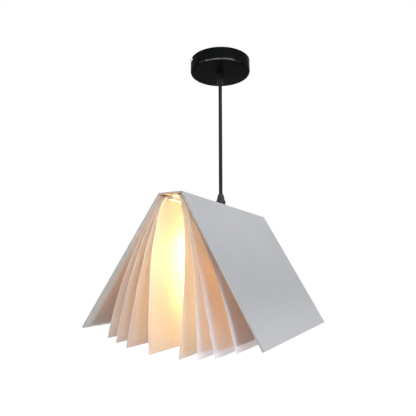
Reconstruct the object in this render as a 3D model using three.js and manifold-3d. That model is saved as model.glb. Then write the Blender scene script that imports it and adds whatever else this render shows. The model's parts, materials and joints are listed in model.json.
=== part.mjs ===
// Book pendant light: an open book hung spine-up from a round ceiling canopy.
// Millimetres, +Z up. The origin is the ceiling plane on the cord's axis; +Y runs along the
// spine and +X points to the right-hand cover. Everything hangs below z = 0.

import * as THREE from "three";
import { mergeVertices } from "three/addons/utils/BufferGeometryUtils.js";
import Module from "manifold-3d";

const wasm = await Module();
wasm.setup();

// Clearances shared by the whole part
const seatGap = 0.3;
const cutOverrun = 1;
const boltClearance = 0.3;

// Recesses in screw heads, as shares of the screw's own sizes
const recessDepthShare = 0.6;
const recessSpanShare = 0.6;
const recessBladeShare = 0.2;

// Ceiling canopy: a spun steel cup with a rounded lower edge
const canopyDiameter = 100;
const canopyHeight = 22;
const canopyWall = 1.2;
const canopyEdgeRadius = 3.5;
const bracketTurn = THREE.MathUtils.degToRad(46.5);

// Ceiling bracket: a steel strap with a leg bent down at each end
const bracketWidth = 18;
const bracketThickness = 1.8;
const bracketLeg = 13;
const ceilingSlotWidth = 4.5;
const ceilingSlotLength = 9;
const ceilingSlotPlace = 12;

// Side screws that hold the canopy to the bracket's legs
const sideScrewDiameter = 4;
const sideScrewHeadDiameter = 7;
const sideScrewHeadHeight = 2.4;
const sideScrewShank = 6;
const sideScrewDrop = 5;

// Cord grip below the canopy and its nut inside
const cordDiameter = 6;
const gripDiameter = 11.6;
const gripLength = 19;
const gripMouthDiameter = 8.4;
const gripTaperLength = 3.8;
const gripStemDiameter = 10;
const gripStemLength = 8;
const cordBoreClearance = 0.35;
const gripNutAcrossFlats = 14;
const gripNutHeight = 3;
const gripScrewDiameter = 3;
const gripScrewLength = 3;
const gripScrewDrop = 8;

// Terminal block under the bracket
const blockPlace = 27;
const blockLength = 13;
const blockWidth = 27;
const blockHeight = 8.5;
const blockWays = 3;
const blockEntryDiameter = 3.2;
const blockScrewDiameter = 3;
const blockValley = 1.6;
const earthScrewPlace = 24;
const earthScrewDiameter = 4;
const earthScrewLength = 4.4;
const earthScrewHeadDiameter = 7.5;
const earthScrewHeadHeight = 2.2;

// Cord: its free length between the grip's mouth and the cap's neck, and its inner ends
const cordFreeLength = 187;
const cordEndTaper = 1;
const cordEndShare = 0.2;
const tailUpperRise = 9;
const tailLowerReach = 1;
const coreDiameter = 2;
const coreSpread = 2.1;

// Cap on the spine, clamping the cord
const capHeight = 21;
const capFootDiameter = 15.4;
const capFootHeight = 11;
const capShoulderDiameter = 10.8;
const capShoulderHeight = 17;
const capNeckDiameter = 7.8;
const capStep = 1.2;
const capScrewDiameter = 3;
const capScrewLength = 2.8;
const capScrewHeight = 13.4;
const capHeadroom = 1;

// Threaded tube through the spine, with its washer and nut
const tubeDiameter = 10;
const tubeBore = 7;
const tubeRise = 9;
const tubeDrop = 20;
const washerDiameter = 15;
const washerThickness = 0.8;
const tubeNutDiameter = 14;
const tubeNutHeight = 3.4;

// Book cover: one folded board, a spine between two covers
const spineWidth = 36.4;
const bookLength = 303;
const coverHeight = 218;
const boardThickness = 3;
const foldInnerRadius = 0.4;
const foldWeb = 1.2;
const boardEdgeRadius = 0.7;
const leftHang = THREE.MathUtils.degToRad(34.8);
const rightHang = THREE.MathUtils.degToRad(29.5);

// Slotted rails under the spine that hold the pages
const railLength = 276;
const railHeight = 4.4;
const railRoof = 0.9;
const railWall = 0.7;
const railToCover = 0.6;
const railInnerPlace = 4.6;
const railScrewDiameter = 2.5;
const railScrewLength = 6.4;
const railScrewHeadDiameter = 5;
const railScrewHeadHeight = 1.4;
const railScrewPlace = 6.7;
const railScrewShares = [-0.86, -0.3, 0.3, 0.86];

// Pages: translucent sheets, each gripped in its own slot
const pageCountPerSide = 4;
const pageLength = 295;
const pageDrop = 203;
const pageThickness = 0.6;
const pagePitch = 2;
const pageSlotClearance = 0.2;
const pageTongue = 3.2;
const pageSteps = 18;
// Direction of each sheet from the vertical, in degrees: halfway down its curve and at its foot.
// The list runs from the innermost page outward.
const leftFanAngles = [4.3, 14.5, 30.2, 37.2];
const leftFootAngles = [-3.5, 9.7, 8.1, 11.8];
const rightFanAngles = [-6, 5.4, 7.2, 30.4];
const rightFootAngles = [-4.5, 2, 12.4, 12.1];

// Lampholder for a small screw base
const holderTopDrop = 13;
const holderCollarDiameter = 15.4;
const holderCollarHeight = 5;
const holderCapDiameter = 27.4;
const holderCapHeight = 20;
const holderDomeHeight = 8;
const holderWall = 1.4;
const holderBodyDiameter = 28;
const holderBodyHeight = 25;
const holderSpigotHeight = 3.6;
const holderLedgeDrop = 4;
const holderLedgeThickness = 1.4;
const holderLedgeBore = 17.6;
const coreDiscHeight = 5;
const coreBossDiameter = 12.6;
const coreBossHeight = 1.6;
const terminalHoleDiameter = 3;
const terminalSpread = 7.6;
const shellWall = 0.5;
const shellLength = 15;
const contactHeadDiameter = 4.6;
const contactHeadHeight = 0.5;
const contactStemDiameter = 2.2;

// Tube-shaped lamp
const baseDiameter = 13.8;
const baseLength = 15.5;
const baseTipDiameter = 4.6;
const baseTipHeight = 1.8;
const baseThreadDepth = 0.55;
const baseThreads = 4;
const lampCollarLength = 8;
const lampCollarNeckDiameter = 16;
const glassDiameter = 30;
const glassLength = 70;
const glassShoulder = 7;
const glassWall = 1;
const lightPostDiameter = 11;
const lightPostLength = 34;
const lightChipDiameter = 9;

// Facet counts
const fineSides = 48;
const roundSides = 24;
const smallSides = 12;
const cordSides = 10;
const coreSides = 8;
const arcSteps = 6;
const domeSteps = 3;
const coreSteps = 14;

// Levels worked out from the driving dimensions
const gripMouthLevel = -canopyHeight - gripLength;
const capTopLevel = gripMouthLevel - cordFreeLength - 2 * seatGap;
const spineTop = capTopLevel - capHeight;
const spineUnder = spineTop - boardThickness;
const railMouthLevel = spineUnder - railHeight;
const holderTop = spineTop - holderTopDrop;
const holderCapFoot = holderTop - holderCapHeight;
const holderFoot = holderCapFoot - seatGap - holderBodyHeight;
const holderSpigotTop = holderCapFoot + holderSpigotHeight;
const ledgeTop = holderSpigotTop - holderLedgeDrop - coreDiscHeight + holderLedgeThickness;
const coreTop = ledgeTop + coreDiscHeight;
const coreBossFoot = ledgeTop - coreBossHeight;
const contactFoot = coreBossFoot - contactHeadHeight;
const baseTipTop = contactFoot - seatGap;
const baseTop = baseTipTop - baseTipHeight;
const baseFoot = baseTop - baseLength;
const lampCollarFoot = baseFoot - lampCollarLength;
const foldRadius = boardThickness + foldInnerRadius;
const cordBoreRadius = cordDiameter / 2 + cordBoreClearance;

// Materials
const finish = (color, roughness, metalness, extra = {}) => ({ color, roughness, metalness, ...extra });
const blackGloss = finish(0x0b0b0b, 0.22, 0.1);
const blackMatte = finish(0x232323, 0.6, 0);
const cordBlack = finish(0x141414, 0.45, 0);
const steel = finish(0xb9b9b7, 0.35, 0.9);
const nickel = finish(0xd6d4cf, 0.2, 0.9);
const brass = finish(0xc9a24c, 0.3, 0.9);
const coverGrey = finish(0xbdbec0, 0.5, 0);
const railWhite = finish(0xe8e6e2, 0.5, 0);
const pagePeach = finish(0xe9c8ab, 0.6, 0);
const holderWhite = finish(0xeeece6, 0.45, 0);
const glassWarm = finish(0xfff2d0, 0.3, 0, { emissive: 0xffd9a0 });
const coreBrown = finish(0x6b4326, 0.5, 0);
const coreBlue = finish(0x2f5f9c, 0.5, 0);
const coreGreen = finish(0x8aa432, 0.5, 0);

const part = new THREE.Group();

// Adds one named piece to a group
function add(group, name, geometry, look) {
  const mesh = new THREE.Mesh(geometry, new THREE.MeshStandardMaterial(look));
  mesh.name = name;
  group.add(mesh);
  return mesh;
}

// A group at a height, turned about Z
function stand(parent, z, turn = 0) {
  const group = new THREE.Group();
  group.position.set(0, 0, z);
  group.rotation.z = turn;
  parent.add(group);
  return group;
}

// Revolves [radius, height] points about Z; an open profile starts and ends on the axis
function revolve(points, sides) {
  const profile = points.map(([radius, height]) => new THREE.Vector2(radius, height));
  return new THREE.LatheGeometry(profile, sides).rotateX(Math.PI / 2);
}

// Closes a ring profile on its first point
function ring(points, sides) {
  return revolve([...points, points[0]], sides);
}

// Points of an arc in the profile plane; a second radius makes it elliptical
function arc(centreX, centreY, radius, from, to, steps = arcSteps, rise = radius) {
  const points = [];
  for (let i = 0; i <= steps; i += 1) {
    const angle = from + ((to - from) * i) / steps;
    points.push([centreX + radius * Math.cos(angle), centreY + rise * Math.sin(angle)]);
  }
  return points;
}

// Cylinder along Z between two heights
function rod(radius, low, high, sides = smallSides) {
  return revolve([[0, low], [radius, low], [radius, high], [0, high]], sides);
}

// Extrudes an outline of [x, z] points along Y, centred on y = 0
function extrudeAlongY(points, length) {
  const shape = new THREE.Shape(points.map(([x, z]) => new THREE.Vector2(x, z)));
  const geometry = new THREE.ExtrudeGeometry(shape, { depth: length, bevelEnabled: false });
  return geometry.rotateX(Math.PI / 2).translate(0, length / 2, 0);
}

function toSolid(geometry) {
  const bare = geometry.clone();
  bare.deleteAttribute("normal");
  bare.deleteAttribute("uv");
  const merged = mergeVertices(bare);
  const mesh = new wasm.Mesh({
    numProp: 3,
    vertProperties: new Float32Array(merged.attributes.position.array),
    triVerts: new Uint32Array(merged.index.array),
  });
  return new wasm.Manifold(mesh);
}

function toGeometry(solid) {
  const mesh = solid.getMesh();
  const geometry = new THREE.BufferGeometry();
  geometry.setAttribute("position", new THREE.BufferAttribute(new Float32Array(mesh.vertProperties), 3));
  geometry.setIndex(new THREE.BufferAttribute(new Uint32Array(mesh.triVerts), 1));
  geometry.computeVertexNormals();
  return geometry;
}

function cut(geometry, tools) {
  let solid = toSolid(geometry);
  for (const tool of tools) {
    solid = solid.subtract(toSolid(tool));
  }
  return toGeometry(solid);
}

// Tube of one section along a curve
function sweep(curve, radius, sides, steps) {
  const section = new THREE.Shape();
  for (let i = 0; i < sides; i += 1) {
    const angle = (2 * Math.PI * i) / sides;
    const x = radius * Math.cos(angle);
    const y = radius * Math.sin(angle);
    if (i === 0) section.moveTo(x, y);
    else section.lineTo(x, y);
  }
  section.closePath();
  return new THREE.ExtrudeGeometry(section, { steps, extrudePath: curve, bevelEnabled: false });
}

// Turns a piece made along +Z so that it points along +X
function alongX(geometry) {
  return geometry.rotateY(Math.PI / 2);
}

// Pan-head screw with its head above the seat at z = 0 and a cross recess
function panScrew(diameter, length, headDiameter, headHeight) {
  const head = headDiameter / 2;
  const shoulder = headHeight / 2;
  const depth = headHeight * recessDepthShare;
  const span = headDiameter * recessSpanShare;
  const dome = arc(0, shoulder, head, 0, Math.PI / 2, domeSteps, headHeight - shoulder);
  const body = revolve([
    [0, -length],
    [diameter / 2, -length],
    [diameter / 2, 0],
    [head, 0],
    ...dome.slice(0, -1),
    [0, headHeight],
  ], smallSides);
  const slots = [0, 1].map((turn) => (
    new THREE.BoxGeometry(span, diameter * recessBladeShare, 2 * depth)
      .rotateZ((turn * Math.PI) / 2)
      .translate(0, 0, headHeight)
  ));
  return cut(body, slots);
}

// Headless screw along Z from z = 0 down, slotted at its top
function grubScrew(diameter, length) {
  const blade = diameter * recessBladeShare;
  const slot = new THREE.BoxGeometry(2 * diameter, blade, diameter * recessDepthShare);
  return cut(rod(diameter / 2, -length, 0), [slot]);
}

// Hexagonal nut above z = 0 with a round hole
function hexNut(acrossFlats, height, hole) {
  const corner = acrossFlats / 2 / Math.cos(Math.PI / 6);
  const shape = new THREE.Shape();
  for (let i = 0; i < 6; i += 1) {
    const angle = (i * Math.PI) / 3;
    if (i === 0) shape.moveTo(corner * Math.cos(angle), corner * Math.sin(angle));
    else shape.lineTo(corner * Math.cos(angle), corner * Math.sin(angle));
  }
  shape.closePath();
  const opening = new THREE.Path();
  opening.absarc(0, 0, hole, 0, 2 * Math.PI, true);
  shape.holes.push(opening);
  return new THREE.ExtrudeGeometry(shape, { depth: height, bevelEnabled: false, curveSegments: smallSides });
}

// Round nut above z = 0 with notches for a key round its rim
function notchedNut(diameter, height, hole) {
  const radius = diameter / 2;
  const body = ring([[hole, 0], [radius, 0], [radius, height], [hole, height]], roundSides);
  const notches = [0, 1, 2, 3].map((i) => (
    new THREE.BoxGeometry(radius / 3, radius / 4, 3 * height)
      .translate(radius, 0, 0)
      .rotateZ((i * Math.PI) / 2)
  ));
  return cut(body, notches);
}

// Ceiling canopy with holes for the grip and the two side screws
function makeCanopy() {
  const outer = canopyDiameter / 2;
  const inner = outer - canopyWall;
  const hole = gripStemDiameter / 2 + boltClearance;
  const innerEdge = canopyEdgeRadius - canopyWall;
  const turnCentre = outer - canopyEdgeRadius;
  const turnLevel = canopyEdgeRadius - canopyHeight;
  const shell = ring([
    [hole, -canopyHeight],
    ...arc(turnCentre, turnLevel, canopyEdgeRadius, -Math.PI / 2, 0),
    [outer, 0],
    [inner, 0],
    ...arc(turnCentre, turnLevel, innerEdge, 0, -Math.PI / 2),
    [hole, canopyWall - canopyHeight],
  ], fineSides);
  const drill = alongX(rod(sideScrewDiameter / 2 + boltClearance, -canopyDiameter, canopyDiameter));
  return cut(shell, [drill.rotateZ(bracketTurn).translate(0, 0, -sideScrewDrop)]);
}

// Ceiling strap along X: a slot each side of the middle for ceiling screws, a hole for the
// terminal block's screw and one for the earth screw, and a leg at each end with a screw hole
function makeBracket() {
  const reach = Math.sqrt((canopyDiameter / 2 - canopyWall) ** 2 - (bracketWidth / 2) ** 2) - seatGap;
  const bend = bracketThickness;
  const inside = reach - bracketThickness;
  const outline = [
    [-reach, -bracketLeg],
    ...arc(-reach + bend, -bend, bend, Math.PI, Math.PI / 2, domeSteps),
    ...arc(reach - bend, -bend, bend, Math.PI / 2, 0, domeSteps),
    [reach, -bracketLeg],
    [inside, -bracketLeg],
    [inside, -bracketThickness],
    [-inside, -bracketThickness],
    [-inside, -bracketLeg],
  ];
  const through = [-bracketThickness - cutOverrun, cutOverrun];
  const slots = [-1, 1].map((side) => ceilingSlot().translate(side * ceilingSlotPlace, 0, through[0]));
  const blockRadius = blockScrewDiameter / 2 + boltClearance;
  const blockHole = rod(blockRadius, ...through).translate(blockPlace, 0, 0);
  const earthRadius = earthScrewDiameter / 2 + boltClearance;
  const earthHole = rod(earthRadius, ...through).translate(-earthScrewPlace, 0, 0);
  const drill = rod(sideScrewDiameter / 2 + boltClearance, -canopyDiameter, canopyDiameter);
  const legHoles = alongX(drill).translate(0, 0, -sideScrewDrop);
  return cut(extrudeAlongY(outline, bracketWidth), [...slots, blockHole, earthHole, legHoles]);
}

// Cutting tool for one slot, long across the strap
function ceilingSlot() {
  const radius = ceilingSlotWidth / 2;
  const half = ceilingSlotLength / 2 - radius;
  const outline = new THREE.Shape();
  outline.absarc(half, 0, radius, -Math.PI / 2, Math.PI / 2, false);
  outline.absarc(-half, 0, radius, Math.PI / 2, (3 * Math.PI) / 2, false);
  outline.closePath();
  const depth = bracketThickness + 2 * cutOverrun;
  return new THREE.ExtrudeGeometry(outline, { depth, bevelEnabled: false, curveSegments: arcSteps });
}

// Cylindrical grip with a threaded stem through the canopy and a tapered mouth
function makeGrip() {
  const radius = gripDiameter / 2;
  const stem = gripStemDiameter / 2;
  const body = ring([
    [cordBoreRadius, gripMouthLevel],
    [gripMouthDiameter / 2, gripMouthLevel],
    [radius, gripMouthLevel + gripTaperLength],
    [radius, -canopyHeight],
    [stem, -canopyHeight],
    [stem, gripStemLength - canopyHeight],
    [cordBoreRadius, gripStemLength - canopyHeight],
  ], roundSides);
  const hole = rod(gripScrewDiameter / 2 + boltClearance, 0, gripDiameter);
  return cut(body, [alongX(hole).rotateZ(Math.PI / 2).translate(0, 0, -canopyHeight - gripScrewDrop)]);
}

// Three-way terminal block: barrels joined by valleys, with wire entries and clamping screws
function makeTerminalBlock() {
  const barrel = blockWidth / blockWays;
  const shoulder = -blockHeight / 2;
  const outline = [[-blockWidth / 2, 0]];
  for (let way = 0; way < blockWays; way += 1) {
    const middle = (way - (blockWays - 1) / 2) * barrel;
    const half = (barrel - blockValley) / 2;
    outline.push([middle - barrel / 2, shoulder]);
    outline.push(...arc(middle, shoulder, half, Math.PI, 2 * Math.PI, arcSteps, -shoulder));
    outline.push([middle + barrel / 2, shoulder]);
  }
  outline.push([blockWidth / 2, 0]);
  const body = extrudeAlongY(outline, blockLength).rotateZ(Math.PI / 2);
  const tools = [rod(blockScrewDiameter / 2 + boltClearance, -2 * blockHeight, blockHeight)];
  for (let way = 0; way < blockWays; way += 1) {
    const middle = (way - (blockWays - 1) / 2) * barrel;
    const entry = rod(blockEntryDiameter / 2, -blockLength, -blockLength / 4);
    tools.push(alongX(entry).translate(0, middle, shoulder));
  }
  return cut(body, tools);
}

// Free cord between two levels, tapered at both ends where it bends at the grip and the cap
function makeFreeCord() {
  const radius = cordDiameter / 2;
  const end = radius * cordEndShare;
  const points = [
    [0, 0],
    [end, 0],
    [radius, cordEndTaper],
    [radius, cordFreeLength - cordEndTaper],
    [end, cordFreeLength],
    [0, cordFreeLength],
  ];
  return revolve(points, cordSides);
}

// Bell-shaped cap: a straight foot, a swelling shoulder and a narrow neck, hollow for the tube
function makeCap() {
  const foot = capFootDiameter / 2;
  const shoulder = capShoulderDiameter / 2;
  const neck = capNeckDiameter / 2;
  const inside = tubeDiameter / 2 + boltClearance;
  const roof = tubeRise + capHeadroom;
  const crown = capHeight - capShoulderHeight;
  const swell = arc(neck, capShoulderHeight, shoulder - neck, 0, Math.PI / 2, domeSteps, crown);
  const body = ring([
    [inside, 0],
    [foot, 0],
    [foot, capFootHeight - capStep],
    [foot - capStep, capFootHeight],
    ...swell,
    [cordBoreRadius, capHeight],
    [cordBoreRadius, roof],
    [inside, roof],
  ], roundSides);
  const hole = rod(capScrewDiameter / 2 + boltClearance, 0, capFootDiameter);
  return cut(body, [alongX(hole).rotateZ(Math.PI / 2).translate(0, 0, capScrewHeight)]);
}

// Fold and hanging direction of one cover; side is +1 on the right, -1 on the left
function foldOf(side) {
  const hang = side > 0 ? rightHang : leftHang;
  const bend = Math.PI / 2 - hang;
  const tangent = foldRadius * Math.tan(bend / 2);
  const axis = [spineWidth / 2 - tangent, spineTop - foldRadius];
  const down = [Math.sin(hang), -Math.cos(hang)];
  const out = [Math.cos(hang), Math.sin(hang)];
  return { side, hang, tangent, axis, down, out };
}

// Point of a fold: so far out from the pivot line and so far down the cover
function foldPoint(fold, outward, along) {
  const x = fold.axis[0] + fold.out[0] * outward + fold.down[0] * along;
  const z = fold.axis[1] + fold.out[1] * outward + fold.down[1] * along;
  return [x, z];
}

// Mirrors an outline drawn for the right side onto either side
function onSide(side, points) {
  return points.map(([x, z]) => [side * x, z]);
}

// Spine board with a hole for the tube and countersunk holes for the rail screws
function makeSpine(left, right) {
  const outline = [
    [-left.axis[0], spineUnder],
    [right.axis[0], spineUnder],
    [right.axis[0], spineTop],
    [-left.axis[0], spineTop],
  ];
  const low = spineUnder - cutOverrun;
  const tools = [rod(tubeDiameter / 2 + boltClearance, low, spineTop + cutOverrun, roundSides)];
  for (const side of [-1, 1]) {
    for (const share of railScrewShares) {
      const head = railScrewHeadDiameter / 2 + boltClearance;
      const shank = railScrewDiameter / 2 + boltClearance;
      const sink = spineTop - railScrewHeadHeight;
      const tool = revolve([
        [0, low],
        [shank, low],
        [shank, sink],
        [head, spineTop],
        [head, spineTop + cutOverrun],
        [0, spineTop + cutOverrun],
      ], smallSides);
      tools.push(tool.translate(side * railScrewPlace, (share * railLength) / 2, 0));
    }
  }
  return cut(extrudeAlongY(outline, bookLength), tools);
}

// Thin outer web left by the scored fold, bending round the pivot line
function makeFoldWeb(fold) {
  const trim = seatGap / foldRadius;
  const inner = foldRadius - foldWeb;
  const [x, z] = fold.axis;
  const outline = [
    ...arc(x, z, foldRadius, Math.PI / 2 - trim, fold.hang + trim),
    ...arc(x, z, inner, fold.hang + trim, Math.PI / 2 - trim),
  ];
  return extrudeAlongY(onSide(fold.side, outline), bookLength);
}

// Cover board hanging from the fold, its lower edge slightly rounded
function makeCover(fold) {
  const length = coverHeight - fold.tangent;
  const edge = boardEdgeRadius;
  const corner = (outward, from) => (
    arc(0, 0, edge, from, from + Math.PI / 2, domeSteps).map(([outShift, alongShift]) => (
      foldPoint(fold, outward + outShift, length - edge + alongShift)))
  );
  const outline = [
    foldPoint(fold, foldInnerRadius, 0),
    foldPoint(fold, foldRadius, 0),
    ...corner(foldRadius - edge, 0),
    ...corner(foldInnerRadius + edge, Math.PI / 2),
  ];
  return extrudeAlongY(onSide(fold.side, outline), bookLength);
}

// Where a page leaves its slot: the outermost one lies closest to the cover
function pageMouth(fold, index) {
  const slotHalf = pageThickness / 2 + pageSlotClearance;
  const inward = foldInnerRadius - railToCover - railWall - slotHalf;
  const drop = (railMouthLevel - fold.axis[1] - fold.out[1] * inward) / fold.down[1];
  const outermost = foldPoint(fold, inward, drop);
  return [outermost[0] - (pageCountPerSide - 1 - index) * pagePitch, railMouthLevel];
}

// Slotted rail under the spine, its outer face parallel to the cover
function makeRail(fold) {
  const slotHalf = pageThickness / 2 + pageSlotClearance;
  const acrossHalf = slotHalf / Math.cos(fold.hang);
  const lean = Math.tan(fold.hang);
  const slotRise = railHeight - railRoof;
  const outerMouth = pageMouth(fold, pageCountPerSide - 1)[0] + acrossHalf + railWall / Math.cos(fold.hang);
  const outline = [[railInnerPlace, spineUnder], [railInnerPlace, railMouthLevel]];
  for (let index = 0; index < pageCountPerSide; index += 1) {
    const mouth = pageMouth(fold, index)[0];
    outline.push([mouth - acrossHalf, railMouthLevel]);
    outline.push([mouth - acrossHalf - slotRise * lean, railMouthLevel + slotRise]);
    outline.push([mouth + acrossHalf - slotRise * lean, railMouthLevel + slotRise]);
    outline.push([mouth + acrossHalf, railMouthLevel]);
  }
  outline.push([outerMouth, railMouthLevel]);
  outline.push([outerMouth - railHeight * lean, spineUnder]);
  const nutRoom = Math.max(washerDiameter, tubeNutDiameter) / 2 + seatGap;
  const tools = [rod(nutRoom, railMouthLevel - cutOverrun, spineTop, roundSides)];
  for (const share of railScrewShares) {
    const hole = rod(railScrewDiameter / 2 + boltClearance, railMouthLevel - cutOverrun, spineTop);
    tools.push(hole.translate(fold.side * railScrewPlace, (share * railLength) / 2, 0));
  }
  return cut(extrudeAlongY(onSide(fold.side, outline), railLength), tools);
}

// Countersunk screw down from the spine's top face
function makeRailScrew() {
  const head = railScrewHeadDiameter / 2;
  const body = revolve([
    [0, -railScrewLength],
    [railScrewDiameter / 2, -railScrewLength],
    [railScrewDiameter / 2, -railScrewHeadHeight],
    [head, 0],
    [0, 0],
  ], smallSides);
  const blade = railScrewDiameter * recessBladeShare;
  const slots = [0, 1].map((turn) => (
    new THREE.BoxGeometry(railScrewHeadDiameter * recessSpanShare, blade, railScrewHeadHeight)
      .rotateZ((turn * Math.PI) / 2)
  ));
  return cut(body, slots);
}

// A sheet's angle from the vertical at a share of its drop: it leaves its slot parallel to the
// cover, passes through its fan angle and ends at its foot angle, bending most near the slot
function pageAngle(fold, fan, foot, share) {
  const t = Math.sqrt(share);
  return fold.hang * (1 - t) ** 2 + 2 * fan * t * (1 - t) + foot * t ** 2;
}

// Middle line of a page from its tongue in the slot down to its free edge
function pageLine(fold, index, fan, foot) {
  const mouth = pageMouth(fold, index);
  const step = pageDrop / pageSteps;
  const tongue = [mouth[0] - fold.down[0] * pageTongue, mouth[1] - fold.down[1] * pageTongue];
  const line = [{ at: tongue, angle: fold.hang }, { at: mouth, angle: fold.hang }];
  let [x, z] = mouth;
  for (let i = 0; i < pageSteps; i += 1) {
    const middle = pageAngle(fold, fan, foot, (i + 0.5) / pageSteps);
    x += step * Math.sin(middle);
    z -= step * Math.cos(middle);
    line.push({ at: [x, z], angle: pageAngle(fold, fan, foot, (i + 1) / pageSteps) });
  }
  return line;
}

// Translucent page: a thin sheet bent along its middle line
function makePage(fold, index, fanDegrees, footDegrees) {
  const fan = THREE.MathUtils.degToRad(fanDegrees);
  const foot = THREE.MathUtils.degToRad(footDegrees);
  const line = pageLine(fold, index, fan, foot);
  const half = pageThickness / 2;
  const face = (way) => line.map(({ at, angle }) => (
    [at[0] + way * half * Math.cos(angle), at[1] + way * half * Math.sin(angle)]));
  const outline = [...face(1), ...face(-1).reverse()];
  return extrudeAlongY(onSide(fold.side, outline), pageLength);
}

// Domed upper shell of the lampholder with a collar that screws onto the tube
function makeHolderCap() {
  const collar = holderCollarDiameter / 2;
  const outer = holderCapDiameter / 2;
  const bore = tubeDiameter / 2 + boltClearance;
  const domeLevel = -holderCollarHeight - holderDomeHeight;
  const dome = (radius, rise) => (
    arc(collar - holderWall, domeLevel, radius - collar + holderWall, 0, Math.PI / 2, arcSteps, rise));
  return ring([
    [outer - holderWall, -holderCapHeight],
    [outer, -holderCapHeight],
    ...dome(outer, holderDomeHeight).slice(0, -1),
    [collar, -holderCollarHeight],
    [collar, 0],
    [bore, 0],
    [bore, -holderCollarHeight - holderWall],
    ...dome(outer - holderWall, holderDomeHeight - holderWall).reverse(),
  ], roundSides);
}

// Lower shell of the lampholder: a skirt with an inner ledge and a spigot into the cap
function makeHolderBody() {
  const outer = holderBodyDiameter / 2;
  const inner = outer - holderWall;
  const spigot = holderCapDiameter / 2 - holderWall - seatGap;
  const seat = spigot - holderWall;
  const rim = holderCapFoot - seatGap;
  const grip = holderWall / 2;
  return ring([
    [inner, holderFoot],
    [outer - grip, holderFoot],
    [outer, holderFoot + grip],
    [outer, rim],
    [spigot, rim],
    [spigot, holderSpigotTop],
    [seat, holderSpigotTop],
    [seat, ledgeTop],
    [holderLedgeBore / 2, ledgeTop],
    [holderLedgeBore / 2, ledgeTop - holderLedgeThickness],
    [inner, ledgeTop - holderLedgeThickness],
  ], roundSides);
}

// Insulating disc on the ledge, with terminal holes and a boss that carries the brass shell
function makeHolderCore() {
  const radius = holderCapDiameter / 2 - 2 * holderWall - 2 * seatGap;
  const body = ring([
    [contactStemDiameter / 2 + boltClearance, coreBossFoot],
    [coreBossDiameter / 2, coreBossFoot],
    [coreBossDiameter / 2, ledgeTop],
    [radius, ledgeTop],
    [radius, coreTop],
    [contactStemDiameter / 2 + boltClearance, coreTop],
  ], roundSides);
  const holes = [-1, 1].map((side) => (
    rod(terminalHoleDiameter / 2, ledgeTop + coreDiscHeight / 2, coreTop + cutOverrun)
      .translate(side * terminalSpread, 0, 0)
  ));
  return cut(body, holes);
}

// Threaded brass sleeve round the boss; the lamp's base screws into it
function makeScrewShell() {
  const inner = baseDiameter / 2 + seatGap;
  const top = ledgeTop - seatGap;
  const lip = coreBossDiameter / 2 + seatGap;
  return ring([
    [inner, top - shellLength],
    [inner + shellWall, top - shellLength],
    [inner + shellWall, top],
    [lip, top],
    [lip, top - shellWall],
    [inner, top - shellWall],
  ], roundSides);
}

// Rivet that makes the centre contact
function makeContact() {
  return revolve([
    [0, contactFoot],
    [contactHeadDiameter / 2, contactFoot],
    [contactHeadDiameter / 2, coreBossFoot],
    [contactStemDiameter / 2, coreBossFoot],
    [contactStemDiameter / 2, coreTop],
    [0, coreTop],
  ], smallSides);
}

// Screw base of the lamp: a tip, a cone and a rolled thread
function makeLampBase() {
  const crest = baseDiameter / 2;
  const root = crest - baseThreadDepth;
  const pitch = baseLength / (baseThreads + 2);
  const points = [[0, baseFoot], [root, baseFoot]];
  for (let turn = 0; turn < baseThreads; turn += 1) {
    const level = baseFoot + (turn + 0.5) * pitch;
    points.push([root, level - pitch / 4]);
    points.push([crest, level]);
    points.push([root, level + pitch / 4]);
  }
  points.push([root, baseTop - pitch]);
  points.push([baseTipDiameter / 2, baseTop]);
  points.push([baseTipDiameter / 2, baseTipTop]);
  points.push([0, baseTipTop]);
  return revolve(points, roundSides);
}

// Housing between the base and the glass
function makeLampCollar() {
  const neck = lampCollarNeckDiameter / 2;
  const wide = glassDiameter / 2 - glassShoulder / 4;
  return revolve([
    [0, lampCollarFoot],
    [wide, lampCollarFoot],
    [wide, lampCollarFoot + lampCollarLength / 4],
    [neck, baseFoot - lampCollarLength / 4],
    [neck, baseFoot],
    [0, baseFoot],
  ], roundSides);
}

// Tube-shaped glass shell with a rounded shoulder, a domed end and an open neck
function makeGlass() {
  const radius = glassDiameter / 2;
  const top = lampCollarFoot;
  const end = top - glassLength;
  const turn = radius - glassShoulder;
  const skin = (inset) => [
    ...arc(0, end + radius, radius - inset, -Math.PI / 2, 0).slice(1),
    ...arc(turn, top - glassShoulder, glassShoulder - inset, 0, Math.PI / 2).slice(0, -1),
  ];
  return revolve([
    [0, end],
    ...skin(0),
    [turn, top],
    [turn, top - glassWall],
    ...skin(glassWall).reverse(),
    [0, end + glassWall],
  ], roundSides);
}

// Post inside the glass that carries the light source, with a chip on its end
function makeLightPost() {
  const radius = lightPostDiameter / 2;
  const chip = lightChipDiameter / 2;
  const foot = lampCollarFoot - lightPostLength;
  const rim = (radius - chip) / 2;
  return revolve([
    [0, foot],
    [chip, foot],
    [chip, foot + rim],
    [radius, foot + rim],
    [radius, lampCollarFoot],
    [0, lampCollarFoot],
  ], smallSides);
}

// Insulated wire along a hand-chosen route
function makeWire(points) {
  const curve = new THREE.CatmullRomCurve3(points.map(([x, y, z]) => new THREE.Vector3(x, y, z)));
  return sweep(curve, coreDiameter / 2, coreSides, coreSteps);
}

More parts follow.
